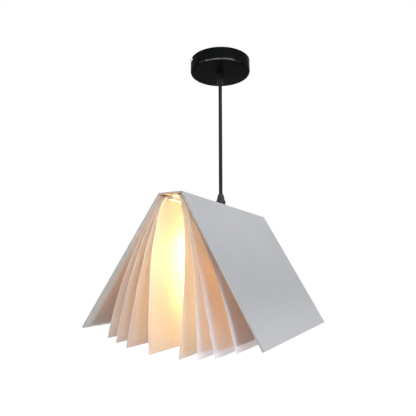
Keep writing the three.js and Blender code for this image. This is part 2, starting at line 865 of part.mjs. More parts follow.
// Ceiling end: canopy, strap, screws, grip, terminal block and the cord's inner end
function buildCeilingEnd() {
  const root = stand(part, 0);
  const turned = stand(root, 0, bracketTurn);
  add(root, "canopy", makeCanopy(), blackGloss);
  add(turned, "ceiling_bracket", makeBracket(), steel);
  for (const [name, side] of [["canopy_screw_left", -1], ["canopy_screw_right", 1]]) {
    const screw = panScrew(sideScrewDiameter, sideScrewShank, sideScrewHeadDiameter, sideScrewHeadHeight);
    const seat = canopyDiameter / 2 + seatGap;
    add(turned, name, alongX(screw).rotateZ(side < 0 ? Math.PI : 0), nickel)
      .position.set(side * seat, 0, -sideScrewDrop);
  }
  const nut = hexNut(gripNutAcrossFlats, gripNutHeight, gripStemDiameter / 2 + boltClearance);
  add(root, "grip_nut", nut, steel).position.z = canopyWall - canopyHeight;
  add(root, "cord_grip", makeGrip(), blackMatte);
  const gripScrew = alongX(grubScrew(gripScrewDiameter, gripScrewLength)).rotateZ(Math.PI / 2);
  const gripScrewSeat = cordDiameter / 2 + seatGap + gripScrewLength;
  add(root, "grip_screw", gripScrew, blackMatte)
    .position.set(0, gripScrewSeat, -canopyHeight - gripScrewDrop);

  const underStrap = -bracketThickness;
  add(turned, "terminal_block", makeTerminalBlock(), holderWhite).position.set(blockPlace, 0, underStrap);
  const blockHead = [2 * blockScrewDiameter, blockScrewDiameter / 2];
  const blockScrew = panScrew(blockScrewDiameter, blockHeight, ...blockHead);
  add(turned, "terminal_block_screw", blockScrew.rotateX(Math.PI), steel)
    .position.set(blockPlace, 0, underStrap - blockHeight - seatGap);
  const earthHead = [earthScrewHeadDiameter, earthScrewHeadHeight];
  const earthScrew = panScrew(earthScrewDiameter, earthScrewLength, ...earthHead);
  add(turned, "earth_screw", earthScrew.rotateX(Math.PI), brass)
    .position.set(-earthScrewPlace, 0, underStrap - seatGap);

  const tailTop = tailUpperRise - canopyHeight;
  const tail = rod(cordDiameter / 2, gripMouthLevel, tailTop, cordSides);
  add(root, "cord_tail_upper", tail, cordBlack);
  buildUpperWires(turned, tailTop + seatGap);
}

// Three wires from the cord's end to the block's entries
function buildUpperWires(group, start) {
  const entry = -bracketThickness - blockHeight / 2;
  const blockFace = blockPlace - blockLength / 2;
  const wires = [
    ["live_wire_upper", coreBrown],
    ["earth_wire_upper", coreGreen],
    ["neutral_wire_upper", coreBlue],
  ];
  wires.forEach(([name, look], way) => {
    const place = way - (blockWays - 1) / 2;
    const spread = (place * blockWidth) / blockWays;
    const wire = makeWire([
      [0, place * coreSpread, start],
      [0, place * coreSpread, start + coreDiameter / 2],
      [blockFace / 4, (place * coreSpread + spread) / 2, entry],
      [blockFace - 2 * coreDiameter, spread, entry],
      [blockFace - seatGap, spread, entry],
    ]);
    add(group, name, wire, look);
  });
}

// Cord end at the spine: cap, tube, washer, nut and the lampholder
function buildSpineEnd() {
  const capTurn = Math.PI / 2;
  add(part, "cord_cap", makeCap(), blackMatte).position.z = spineTop;
  const screw = alongX(grubScrew(capScrewDiameter, capScrewLength)).rotateZ(capTurn);
  const screwSeat = cordDiameter / 2 + seatGap + capScrewLength;
  add(part, "cap_screw", screw, blackMatte).position.set(0, screwSeat, spineTop + capScrewHeight);
  const bore = tubeBore / 2;
  const outer = tubeDiameter / 2;
  const wall = [[bore, -tubeDrop], [outer, -tubeDrop], [outer, tubeRise], [bore, tubeRise]];
  add(part, "threaded_tube", ring(wall, roundSides), steel).position.z = spineTop;
  const hole = outer + boltClearance;
  const rim = washerDiameter / 2;
  const washer = ring([[hole, -washerThickness], [rim, -washerThickness], [rim, 0], [hole, 0]], roundSides);
  add(part, "tube_washer", washer, steel).position.z = spineUnder;
  add(part, "tube_nut", notchedNut(tubeNutDiameter, tubeNutHeight, hole), steel)
    .position.z = spineUnder - washerThickness - tubeNutHeight;
  const tail = rod(cordDiameter / 2, spineTop - tubeDrop - tailLowerReach, capTopLevel, cordSides);
  add(part, "cord_tail_lower", tail, cordBlack);
}

// Lampholder hung from the tube
function buildLampholder() {
  add(part, "lampholder_cap", makeHolderCap(), holderWhite).position.z = holderTop;
  add(part, "lampholder_body", makeHolderBody(), holderWhite);
  add(part, "lampholder_core", makeHolderCore(), holderWhite);
  add(part, "screw_shell", makeScrewShell(), brass);
  add(part, "centre_contact", makeContact(), brass);
  const start = spineTop - tubeDrop - tailLowerReach - seatGap;
  const wires = [["live_wire_lower", -1, coreBrown], ["neutral_wire_lower", 1, coreBlue]];
  for (const [name, side, look] of wires) {
    const wire = makeWire([
      [(side * coreSpread) / 2, 0, start],
      [(side * coreSpread) / 2, 0, start - coreDiameter / 2],
      [side * terminalSpread, 0, coreTop + coreDiameter],
      [side * terminalSpread, 0, coreTop + seatGap],
    ]);
    add(part, name, wire, look);
  }
}

function buildLamp() {
  add(part, "lamp_base", makeLampBase(), nickel);
  add(part, "lamp_collar", makeLampCollar(), holderWhite);
  add(part, "lamp_glass", makeGlass(), glassWarm);
  add(part, "lamp_light_post", makeLightPost(), holderWhite);
}

// The book: folded cover, rails and pages
function buildBook() {
  const left = foldOf(-1);
  const right = foldOf(1);
  add(part, "spine_board", makeSpine(left, right), coverGrey);
  const sides = [
    [left, "left", leftFanAngles, leftFootAngles],
    [right, "right", rightFanAngles, rightFootAngles],
  ];
  for (const [fold, name, fans, feet] of sides) {
    add(part, `${name}_fold`, makeFoldWeb(fold), coverGrey);
    add(part, `${name}_cover`, makeCover(fold), coverGrey);
    add(part, `${name}_page_rail`, makeRail(fold), railWhite);
    railScrewShares.forEach((share, count) => {
      add(part, `${name}_rail_screw_${count + 1}`, makeRailScrew(), nickel)
        .position.set(fold.side * railScrewPlace, (share * railLength) / 2, spineTop);
    });
    for (let index = 0; index < pageCountPerSide; index += 1) {
      add(part, `${name}_page_${index + 1}`, makePage(fold, index, fans[index], feet[index]), pagePeach);
    }
  }
}

buildCeilingEnd();
add(part, "pendant_cord", makeFreeCord(), cordBlack).position.z = capTopLevel + seatGap;
buildSpineEnd();
buildLampholder();
buildLamp();
buildBook();

export default part;
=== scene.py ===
# Looks of the book pendant light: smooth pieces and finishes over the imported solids, a lit lamp,
# soft studio light and a camera at the photograph's angle. Metres, in the part's own frame.

import json
import math

import bmesh
import bpy
from mathutils import Matrix, Vector
from mathutils.noise import noise


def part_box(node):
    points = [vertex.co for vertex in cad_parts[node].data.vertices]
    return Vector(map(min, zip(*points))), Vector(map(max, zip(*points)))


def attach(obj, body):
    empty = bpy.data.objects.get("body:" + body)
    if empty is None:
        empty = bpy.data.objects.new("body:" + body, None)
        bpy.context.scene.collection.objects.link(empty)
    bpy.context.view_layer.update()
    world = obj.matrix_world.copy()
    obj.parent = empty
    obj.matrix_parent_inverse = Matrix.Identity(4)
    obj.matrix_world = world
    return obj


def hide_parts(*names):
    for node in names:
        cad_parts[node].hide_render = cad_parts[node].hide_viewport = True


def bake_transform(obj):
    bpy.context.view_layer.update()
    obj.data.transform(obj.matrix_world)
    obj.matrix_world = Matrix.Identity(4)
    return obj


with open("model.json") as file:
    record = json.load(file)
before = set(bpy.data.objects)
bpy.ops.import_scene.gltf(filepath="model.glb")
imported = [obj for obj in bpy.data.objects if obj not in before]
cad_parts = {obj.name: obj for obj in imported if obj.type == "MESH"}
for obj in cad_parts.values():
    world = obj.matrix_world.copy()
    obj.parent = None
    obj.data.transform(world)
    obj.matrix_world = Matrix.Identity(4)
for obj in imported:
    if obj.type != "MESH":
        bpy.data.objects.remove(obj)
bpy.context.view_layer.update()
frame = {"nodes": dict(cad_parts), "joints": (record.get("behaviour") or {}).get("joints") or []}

# Sizes in metres, and angles, that the solids share
MM = 0.001
SEAT_GAP = 0.3 * MM
CORD_DIAMETER = 6 * MM
CORD_TOP = -41.3 * MM
CORD_LENGTH = 187 * MM
BOARD = 3 * MM
FOLD_INSIDE = 0.4 * MM
FOLD_WEB = 1.2 * MM
COVER_HEIGHT = 218 * MM
PAGE_THICKNESS = 0.6 * MM
PAGE_DROP = 203 * MM
PAGE_TONGUE = 3.2 * MM
BRACKET_TURN = math.radians(46.5)
HANG = {"left": math.radians(34.8), "right": math.radians(29.5)}
SIDE_SIGN = {"left": -1, "right": 1}
RAIL_SCREWS = range(1, 5)

# Radii of the bores for the cord, the grub screws and the threaded tube
CORD_BORE = 3.35 * MM
GRUB_BORE = 1.7 * MM
TUBE_BORE = 5.3 * MM

# Angles of the sheets from the vertical in degrees, from the innermost outward: the one that each
# sheet's curve is drawn toward, and the one at its foot
FAN_ANGLES = {"left": [4.3, 14.5, 30.2, 37.2], "right": [-6, 5.4, 7.2, 30.4]}
FOOT_ANGLES = {"left": [-3.5, 9.7, 8.1, 11.8], "right": [-4.5, 2, 12.4, 12.1]}

# Small forms that the scene adds
EDGE_ROUND = 0.55 * MM
PAGE_WAVE = 1.2 * MM

# How far the canopy's painted highlight, a glossier front arc of its edge, and its fading ends reach to each
# side of the front
HIGHLIGHT_ARC = math.radians(28)
HIGHLIGHT_FADING_ARC = math.radians(42)

# Facets, and the angles in degrees past which an edge shows as sharp
FINE_SIDES = 128
ROUND_SIDES = 72
SMALL_SIDES = 32
PAGE_STEPS = 44
PAGE_COLUMNS = 30
FOLD_STEPS = 14
FILLET_STEPS = 4
CORD_STEPS = 24
SHARP_CARVED = 30
SHARP_PLAIN = 35
SHARP_TURNED = 40
SHARP_RIBBED = 50

# Distance within which two places count as the same, and how far a cutter runs past its piece
TOUCH = 1e-6
OVERRUN = 1 * MM


def span(name):
    """Low corner, high corner and size of a CAD node."""
    low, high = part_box(name)
    return low, high, high - low


def height_at(name, share):
    """Height in the part at a share of a CAD node's own height."""
    low, _, size = span(name)
    return low.z + share * size.z


def add_object(name, data):
    made = bpy.data.objects.new(name, data)
    bpy.context.scene.collection.objects.link(made)
    return made


# Camera, fitted to the photograph; lens and sensor in millimetres

CAMERA_PLACE = (0.2912, -0.6051, -0.3502)
CAMERA_AZIMUTH = math.radians(27.46)
CAMERA_TILT = math.radians(8.39)
CAMERA_LENS = 36.35
CAMERA_SENSOR = 36
CAMERA_RANGE = (0.01, 50)


def make_camera():
    data = bpy.data.cameras.new("camera")
    data.sensor_width = CAMERA_SENSOR
    data.lens = CAMERA_LENS
    data.clip_start, data.clip_end = CAMERA_RANGE
    camera = add_object("camera", data)
    camera.location = CAMERA_PLACE
    camera.rotation_euler = (math.pi / 2 + CAMERA_TILT, 0, CAMERA_AZIMUTH)
    bpy.context.scene.camera = camera


# Shader helpers; the owner of the nodes is a material or the world

# Numbers of the Mix node's two colour inputs and of its colour output
MIX_COLOURS = (6, 7)
MIX_RESULT = 2


def socket_value(value):
    """Gives a colour its alpha and leaves a number as it is."""
    return (*value, 1) if isinstance(value, tuple) else value


def principled(name, **values):
    """A material with one Principled shader; each value is set on the socket of that name."""
    material = bpy.data.materials.new(name)
    material.use_nodes = True
    shader = shader_of(material)
    for key, value in values.items():
        shader.inputs[key.replace("_", " ")].default_value = socket_value(value)
    return material


def shader_of(material):
    return material.node_tree.nodes["Principled BSDF"]


def node(owner, kind, **settings):
    made = owner.node_tree.nodes.new(kind)
    for key, value in settings.items():
        setattr(made, key, value)
    return made


def link(owner, source, target):
    owner.node_tree.links.new(source, target)


def feed(owner, value, target):
    """Links a field to a socket, or sets a plain number or colour on it."""
    if isinstance(value, bpy.types.NodeSocket):
        link(owner, value, target)
    else:
        target.default_value = socket_value(value)


def compute(owner, operation, *values, **settings):
    """One step of arithmetic on fields and plain numbers."""
    step = node(owner, "ShaderNodeMath", operation=operation, **settings)
    for value, target in zip(values, step.inputs):
        feed(owner, value, target)
    return step.outputs["Value"]


def coordinates(material, scale=(1, 1, 1), source="Object"):
    mapping = node(material, "ShaderNodeMapping")
    mapping.inputs["Scale"].default_value = scale
    link(material, node(material, "ShaderNodeTexCoord").outputs[source], mapping.inputs["Vector"])
    return mapping.outputs["Vector"]


def along(material, axis, source="UV"):
    """One coordinate in metres."""
    split = node(material, "ShaderNodeSeparateXYZ")
    link(material, coordinates(material, source=source), split.inputs["Vector"])
    return split.outputs[axis]


def noise_field(material, scale, detail=3, stretch=(1, 1, 1)):
    texture = node(material, "ShaderNodeTexNoise")
    texture.inputs["Scale"].default_value = scale
    texture.inputs["Detail"].default_value = detail
    link(material, coordinates(material, stretch), texture.inputs["Vector"])
    return texture.outputs["Fac"]


def spread(material, value, low, high, start=0.3, end=0.7, curve="LINEAR"):
    """Maps a field from start to end onto low to high."""
    ranged = node(material, "ShaderNodeMapRange", interpolation_type=curve)
    limits = {"From Min": start, "From Max": end, "To Min": low, "To Max": high, "Value": value}
    for name, limit in limits.items():
        feed(material, limit, ranged.inputs[name])
    return ranged.outputs["Result"]


def mixed_colour(material, factor, first, second):
    """Goes from the first colour to the second one as the factor goes from 0 to 1."""
    mix = node(material, "ShaderNodeMix", data_type="RGBA")
    link(material, factor, mix.inputs["Factor"])
    for number, colour in zip(MIX_COLOURS, (first, second)):
        feed(material, colour, mix.inputs[number])
    return mix.outputs[MIX_RESULT]


def mixed_shader(owner, factor, first, second):
    """Goes from the first shader to the second one as the factor goes from 0 to 1."""
    mix = node(owner, "ShaderNodeMixShader")
    for value, target in zip((factor, first, second), mix.inputs):
        feed(owner, value, target)
    return mix.outputs["Shader"]


def paint_with(material, colour):
    link(material, colour, shader_of(material).inputs["Base Color"])


def vary_colour(material, first, second, scale, stretch=(1, 1, 1)):
    factor = spread(material, noise_field(material, scale, stretch=stretch), 0, 1)
    paint_with(material, mixed_colour(material, factor, first, second))


def vary_roughness(material, low, high, scale, stretch=(1, 1, 1)):
    field = noise_field(material, scale, 2, stretch)
    link(material, spread(material, field, low, high), shader_of(material).inputs["Roughness"])


def add_grain(material, scale, depth, stretch=(1, 1, 1), detail=2):
    """Fine relief of a depth in millimetres, from noise."""
    bump = node(material, "ShaderNodeBump")
    bump.inputs["Strength"].default_value = 1
    bump.inputs["Distance"].default_value = depth * MM
    link(material, noise_field(material, scale, detail, stretch), bump.inputs["Height"])
    link(material, bump.outputs["Normal"], shader_of(material).inputs["Normal"])


def let_through(material, colour, share):
    """Lets a share of the light scatter through to the other side, in a colour."""
    through = node(material, "ShaderNodeBsdfTranslucent")
    feed(material, colour, through.inputs["Color"])
    both = mixed_shader(material, share, shader_of(material).outputs["BSDF"], through.outputs["BSDF"])
    link(material, both, material.node_tree.nodes["Material Output"].inputs["Surface"])


# Finishes


def darker(colour, share):
    return tuple(share * part for part in colour)


def canopy_paint(name, gloss, rough):
    """Black paint with a slight orange peel."""
    material = principled(name, Specular_IOR_Level=gloss)
    vary_colour(material, (0.0062, 0.0072, 0.0065), (0.0082, 0.0092, 0.0085), scale=120)
    vary_roughness(material, 0.9 * rough, 1.15 * rough, scale=160)
    add_grain(material, scale=500, depth=0.004)
    return material


def moulded_black(name, gloss):
    """Black moulded plastic with a fine spark texture."""
    material = principled(name, Specular_IOR_Level=gloss)
    vary_colour(material, (0.014, 0.0145, 0.015), (0.022, 0.022, 0.023), scale=400)
    vary_roughness(material, 0.42, 0.55, scale=300)
    add_grain(material, scale=2600, depth=0.02)
    return material


def cord_sheath():
    """Smooth black flex, faintly drawn along its length."""
    material = principled("cord_sheath", Specular_IOR_Level=0.16)
    vary_colour(material, (0.007, 0.007, 0.0075), (0.012, 0.012, 0.013), scale=500, stretch=(1, 1, 0.08))
    vary_roughness(material, 0.36, 0.48, scale=350, stretch=(1, 1, 0.1))
    add_grain(material, scale=1500, depth=0.006, stretch=(1, 1, 0.12))
    return material


def plated(name, colour, smoothest, roughest):
    """Plated metal with faint cloudy wear."""
    material = principled(name, Metallic=1.0)
    vary_colour(material, darker(colour, 0.86), colour, scale=260)
    vary_roughness(material, smoothest, roughest, scale=420)
    add_grain(material, scale=1900, depth=0.006)
    return material


def brushed_strap():
    """Zinc-plated strap with fine lines along its length."""
    material = principled("brushed_strap", Metallic=1.0)
    vary_colour(material, (0.46, 0.47, 0.47), (0.6, 0.6, 0.58), scale=220, stretch=(0.3, 1, 1))
    vary_roughness(material, 0.28, 0.42, scale=300, stretch=(0.2, 1, 1))
    add_grain(material, scale=1600, depth=0.008, stretch=(0.06, 1, 1))
    return material


def moulded_white(name, colour, smoothest, roughest):
    """White moulding with a soft sheen."""
    material = principled(name)
    warm = (colour[0], 0.985 * colour[1], 0.95 * colour[2])
    vary_colour(material, warm, colour, scale=60)
    vary_roughness(material, smoothest, roughest, scale=200)
    add_grain(material, scale=1800, depth=0.01)
    return material


def insulation(name, colour):
    """Smooth plastic round a wire."""
    material = principled(name)
    vary_colour(material, darker(colour, 0.8), colour, scale=500)
    vary_roughness(material, 0.38, 0.5, scale=400)
    add_grain(material, scale=1500, depth=0.01)
    return material


def cover_board():
    """Satin light grey board with a fine paper grain. Its faint cool clouds are a painted reflection, it is
    darker over the middle of its height as painted shade, and paler at its foot as painted light.
    """
    material = principled("cover_board", Specular_IOR_Level=0.4)
    # Cool clouds: a painted reflection of the surroundings on the satin paint
    painted_reflection_clouds = spread(material, noise_field(material, 9, 2), 0, 1, 0.35, 0.68)
    wide = mixed_colour(material, painted_reflection_clouds, (0.544, 0.547, 0.560), (0.482, 0.498, 0.526))
    height = along(material, "Z", "Object")
    # Painted shade over the middle of the cover's height
    shade_start = height_at("right_cover", share=0.4)
    shade_end = height_at("right_cover", share=0.8)
    shaded = spread(material, height, 0.6, 0, shade_start, shade_end)
    wide = mixed_colour(material, shaded, wide, (0.462, 0.477, 0.502))
    # Painted light: the foot is painted paler
    foot_light_start = height_at("right_cover", share=0)
    foot_light_end = height_at("right_cover", share=0.34)
    painted_foot_light = spread(material, height, 1, 0, foot_light_start, foot_light_end, "SMOOTHSTEP")
    wide = mixed_colour(material, painted_foot_light, wide, (0.60, 0.607, 0.63))
    fine = spread(material, noise_field(material, 140, 4), 0, 0.14)
    paint_with(material, mixed_colour(material, fine, wide, (0.6, 0.605, 0.615)))
    vary_roughness(material, 0.46, 0.58, scale=90)
    add_grain(material, scale=1400, depth=0.025, detail=4)
    return material


def lining_paper(name):
    """Matt paper with a fine grain, and a field of faint clouds for its colours."""
    material = principled(name, Specular_IOR_Level=0.2)
    vary_roughness(material, 0.6, 0.72, scale=90)
    add_grain(material, scale=1400, depth=0.02, detail=4)
    return material, spread(material, noise_field(material, 120), 0, 1)


def cover_lining():
    """Inside of a cover: endpaper painted warm and lighter toward the spine as painted lamp light, darker
    toward the foot as painted shade, and paler along its sides and foot as painted outside light."""
    material, cloud = lining_paper("cover_lining")
    edge_light_side, edge_light_foot = 18 * MM, 5 * MM
    light_start, light_end = 0.1 * COVER_HEIGHT, 0.6 * COVER_HEIGHT
    # Painted lamp light toward the spine, painted shade toward the foot
    upper = spread(material, along(material, "Y"), 0, 1, light_start, light_end)
    low = mixed_colour(material, cloud, (0.49, 0.39, 0.335), (0.53, 0.42, 0.36))
    high = mixed_colour(material, cloud, (0.79, 0.64, 0.575), (0.83, 0.68, 0.615))
    paper = mixed_colour(material, upper, low, high)
    # Painted light along the sides and foot, where outside light reaches
    painted_edge_light = mixed_colour(material, cloud, (0.63, 0.65, 0.635), (0.67, 0.69, 0.675))
    margin = border_share(material, edge_light_side, edge_light_foot, COVER_HEIGHT)
    paint_with(material, mixed_colour(material, margin, paper, painted_edge_light))
    return material


def spine_lining():
    """Underside of the spine: white, with a brown band at its two ends as painted warm shade."""
    material, cloud = lining_paper("spine_lining")
    paper = mixed_colour(material, cloud, (0.90, 0.86, 0.80), (0.93, 0.89, 0.83))
    # Painted warm shade at the spine's two ends
    painted_shade_brown = mixed_colour(material, cloud, (0.46, 0.22, 0.09), (0.52, 0.26, 0.11))
    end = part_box("spine_board")[1].y
    widest, narrowest = 10 * MM, 7.5 * MM
    from_middle = compute(material, "ABSOLUTE", along(material, "Y", "Object"))
    margin = spread(material, from_middle, 0, 1, end - widest, end - narrowest)
    paint_with(material, mixed_colour(material, margin, paper, painted_shade_brown))
    return material


def board_core(name, colour):
    """Cut ends of a board: its core with fine layers along it."""
    material = principled(name, Specular_IOR_Level=0.2)
    vary_colour(material, darker(colour, 0.88), colour, scale=300, stretch=(1, 1, 0.3))
    vary_roughness(material, 0.65, 0.78, scale=200)
    add_grain(material, scale=1200, depth=0.03, stretch=(1, 1, 0.2), detail=4)
    return material


def border_share(material, side, foot, top):
    """1 on a sheet's border, 0 past a width from its foot or its sides; the border along the sides fades out
    toward the top. It reads a map of the distances from side and foot. Sheets and linings use it to paint
    light along their open edges."""
    side_start, foot_start, fade_start = 0.4 * side, 0.65 * foot, 0.4 * top
    beside = spread(material, along(material, "X"), 1, 0, side_start, side, "SMOOTHSTEP")
    at_foot = spread(material, along(material, "Y"), 1, 0, foot_start, foot, "SMOOTHSTEP")
    fading = spread(material, along(material, "Y"), 1, 0, fade_start, top)
    return compute(material, "MAXIMUM", compute(material, "MULTIPLY", beside, fading), at_foot)


# Borders of the sheets, painted paler as painted outside light on their open edges: the colour that they
# reflect, the colour that they let through, and the share of the light that they let through
WARM_BORDER = ((0.94, 0.86, 0.83), (0.96, 0.88, 0.85), 0.75)
MIDDLE_BORDER = ((0.95, 0.88, 0.84), (0.91, 0.84, 0.79), 0.55)
PALE_BORDER = ((0.98, 0.955, 0.97), (0.96, 0.94, 0.96), 0.4)
PAINTED_RIM_GLOW = 0.17


def page_sheet(name, border, painted_lighting_tone=(1, 1, 1), share=0.795, painted_rim_glow=0.0):
    """Translucent sheet that scatters light both ways, with a border painted paler as painted light. It is
    painted paler toward the spine as painted lamp light, its tone makes lit or shaded copies, and the painted
    rim glow is a faint emission at its foot that stands for light on its edge."""
    border_reflected, border_passed, border_clear = border
    material = principled(name, Specular_IOR_Level=0.2)
    height = along(material, "Y")
    fibres = spread(material, noise_field(material, 120, 4), 0, 1)
    border_side, border_foot, border_top = 11 * MM, 9 * MM, 0.58 * PAGE_DROP
    edge = border_share(material, border_side, border_foot, border_top)
    # Painted lamp light: the sheet is painted paler toward the spine
    upper_start, upper_end = 0.5 * PAGE_DROP, 0.92 * PAGE_DROP
    upper = spread(material, height, 0, 1, upper_start, upper_end)

    def lighting_toned(colour):
        return tuple(min(part * factor, 0.99) for part, factor in zip(colour, painted_lighting_tone))

    def sheet_colour(first, second, near_spine, at_border):
        middle = mixed_colour(material, fibres, lighting_toned(first), lighting_toned(second))
        middle = mixed_colour(material, upper, middle, lighting_toned(near_spine))
        return mixed_colour(material, edge, middle, at_border)

    reflected = sheet_colour((0.965, 0.895, 0.815), (0.98, 0.915, 0.84), (0.99, 0.95, 0.91), border_reflected)
    passed = sheet_colour((0.985, 0.918, 0.858), (0.99, 0.933, 0.878), (0.99, 0.955, 0.915), border_passed)
    paint_with(material, reflected)
    let_through(material, passed, spread(material, edge, share, border_clear, 0, 1))
    # Painted glow: an emission at the foot of a sheet that is no lamp, for light on its edge
    if painted_rim_glow:
        shader = shader_of(material)
        rim_full, rim_end = 6 * MM, 9 * MM
        at_foot = spread(material, height, painted_rim_glow, 0, rim_full, rim_end, "SMOOTHSTEP")
        feed(material, border_reflected, shader.inputs["Emission Color"])
        feed(material, at_foot, shader.inputs["Emission Strength"])
        material.cycles.emission_sampling = "NONE"
    vary_roughness(material, 0.5, 0.62, scale=120)
    add_grain(material, scale=900, depth=0.012, detail=4)
    return material


def page_sheets():
    """Material of each page, from the innermost outward."""
    left = page_sheet("page_sheet_left", WARM_BORDER)
    # The right pages are lit and shaded copies: their tones paint shade on the first and fourth and light on
    # the second and third, and their pale borders paint light
    right = [
        page_sheet("page_sheet_right_1", MIDDLE_BORDER, (0.85, 0.85, 0.85)),
        page_sheet("page_sheet_right_2", PALE_BORDER, (1.02, 0.985, 1.02), share=0.92, painted_rim_glow=PAINTED_RIM_GLOW),
        page_sheet("page_sheet_right_3", PALE_BORDER, (1.02, 1.01, 1.03), share=0.92, painted_rim_glow=PAINTED_RIM_GLOW),
        page_sheet("page_sheet_right_4", PALE_BORDER, (0.80, 0.79, 0.83), painted_rim_glow=PAINTED_RIM_GLOW),
    ]
    return {"left": [left] * len(FAN_ANGLES["left"]), "right": right}


LAMP_STRENGTH = 570.0


def lit_glass():
    """Opal glass lit by the post inside it, so its upper half is the brighter one."""
    material = principled("lit_glass", Base_Color=(1.0, 0.9, 0.76), Roughness=0.25,
                          Emission_Strength=LAMP_STRENGTH)
    dim_level = height_at("lamp_glass", share=0.5)
    bright_level = height_at("lamp_glass", share=0.9)
    near_post = spread(material, along(material, "Z", "Object"), 0, 1, dim_level, bright_level)
    cloud = spread(material, noise_field(material, 60, 2), 0, 1)
    bright = mixed_colour(material, cloud, (1.0, 0.765, 0.365), (1.0, 0.805, 0.395))
    glow = mixed_colour(material, near_post, (0.2, 0.14, 0.07), bright)
    link(material, glow, shader_of(material).inputs["Emission Color"])
    return material


# Mesh helpers


def sharpen(mesh, degrees):
    mesh.set_sharp_from_angle(angle=math.radians(degrees))


def mesh_object(bm, name):
    """Turns a bmesh into an object whose faces point outward."""
    bmesh.ops.recalc_face_normals(bm, faces=bm.faces)
    mesh = bpy.data.meshes.new(name)
    bm.to_mesh(mesh)
    bm.free()
    return add_object(name, mesh)


def carve(target, cutters):
    """Cuts bmesh tools out of an object's mesh."""
    for bm in cutters:
        tool = mesh_object(bm, "cutter")
        modifier = target.modifiers.new("cut", "BOOLEAN")
        modifier.operation = "DIFFERENCE"
        modifier.solver = "EXACT"
        modifier.object = tool
        bpy.context.view_layer.update()
        shown = target.evaluated_get(bpy.context.evaluated_depsgraph_get())
        carved = bpy.data.meshes.new_from_object(shown)
        target.modifiers.clear()
        target.data = carved
        bpy.data.objects.remove(tool)


def piece(bm, name, material, body, stands_for, sharp=SHARP_PLAIN, cutters=(), place=None):
    """Turns a bmesh into a smooth-shaded object that rides on a body and stands for a CAD node.
    The cutters are bmesh tools, cut out of it before it goes to its place."""
    made = mesh_object(bm, name)
    made.data.materials.append(material)
    made.data.shade_smooth()
    carve(made, cutters)
    sharpen(made.data, sharp)
    if place is not None:
        made.data.transform(place)
    if body:
        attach(made, body)
    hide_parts(stands_for)
    return made


def fillet(points, radius, closed=True):
    """Rounds the corners of an outline; an open one keeps its two ends."""
    count = len(points)
    longest_share = 0.45
    smooth = []
    for index, point in enumerate(points):
        if not closed and index in (0, count - 1):
            smooth.append(point)
            continue
        corner = Vector(point)
        before = Vector(points[index - 1]) - corner
        after = Vector(points[(index + 1) % count]) - corner
        reach = min(radius, longest_share * before.length, longest_share * after.length)
        start = corner + before.normalized() * reach
        end = corner + after.normalized() * reach
        for step in range(FILLET_STEPS + 1):
            t = step / FILLET_STEPS
            smooth.append(tuple((1 - t) ** 2 * start + 2 * t * (1 - t) * corner + t ** 2 * end))
    return smooth


def arc_points(centre, radius, start, end, steps, rise=None):
    """Points of an arc, or of an ellipse's arc whose other half axis is the rise."""
    rise = radius if rise is None else rise
    points = []
    for k in range(steps + 1):
        angle = start + (end - start) * k / steps
        points.append((centre[0] + radius * math.cos(angle), centre[1] + rise * math.sin(angle)))
    return points


def lathe(profile, sides, closed=False, base=0.0):
    """Revolves [radius, height] points about Z; heights count from the base."""
    bm = bmesh.new()
    rings = []
    for radius, height in profile:
        if radius < TOUCH:
            rings.append([bm.verts.new((0, 0, base + height))])
            continue
        ring = []
        for k in range(sides):
            angle = 2 * math.pi * k / sides
            ring.append(bm.verts.new((radius * math.cos(angle), radius * math.sin(angle), base + height)))
        rings.append(ring)
    pairs = list(zip(rings, rings[1:]))
    if closed:
        pairs.append((rings[-1], rings[0]))
    for low, high in pairs:
        for k in range(sides):
            following = (k + 1) % sides
            if len(low) == 1:
                bm.faces.new((low[0], high[k], high[following]))
            elif len(high) == 1:
                bm.faces.new((low[k], high[0], low[following]))
            else:
                bm.faces.new((low[k], high[k], high[following], low[following]))
    return bm


def placed(bm, matrix):
    bmesh.ops.transform(bm, matrix=matrix, verts=bm.verts)
    return bm


def box_between(low, high):
    """A box from one corner to the other."""
    bm = bmesh.new()
    bmesh.ops.create_cube(bm, size=1)
    low, high = Vector(low), Vector(high)
    size = Matrix.Diagonal((*(high - low), 1))
    return placed(bm, Matrix.Translation((low + high) / 2) @ size)


def round_edges(bm, edges):
    bmesh.ops.bevel(bm, geom=edges, offset=EDGE_ROUND, segments=FILLET_STEPS, profile=0.5, affect="EDGES")


def drill(radius, start, end, sides=SMALL_SIDES):
    """Tool for a round hole along Z."""
    return lathe([(0, start), (radius, start), (radius, end), (0, end)], sides)


def grub_hole(level, reach):
    """Tool for a grub screw's hole, from the axis outward along Y."""
    turn = Matrix.Rotation(-math.pi / 2, 4, "X")
    return placed(drill(GRUB_BORE, 0, reach), Matrix.Translation((0, 0, level)) @ turn)


def cross_recess(length, blade, depth, level):
    """Tools for a cross recess in a screw's top at a level: two crossed blades."""
    half, thin = length / 2, blade / 2
    raised = Matrix.Translation((0, 0, level))
    return [placed(box_between((-x, -y, -depth), (x, y, depth)), raised)
            for x, y in ((half, thin), (thin, half))]


# Ceiling end


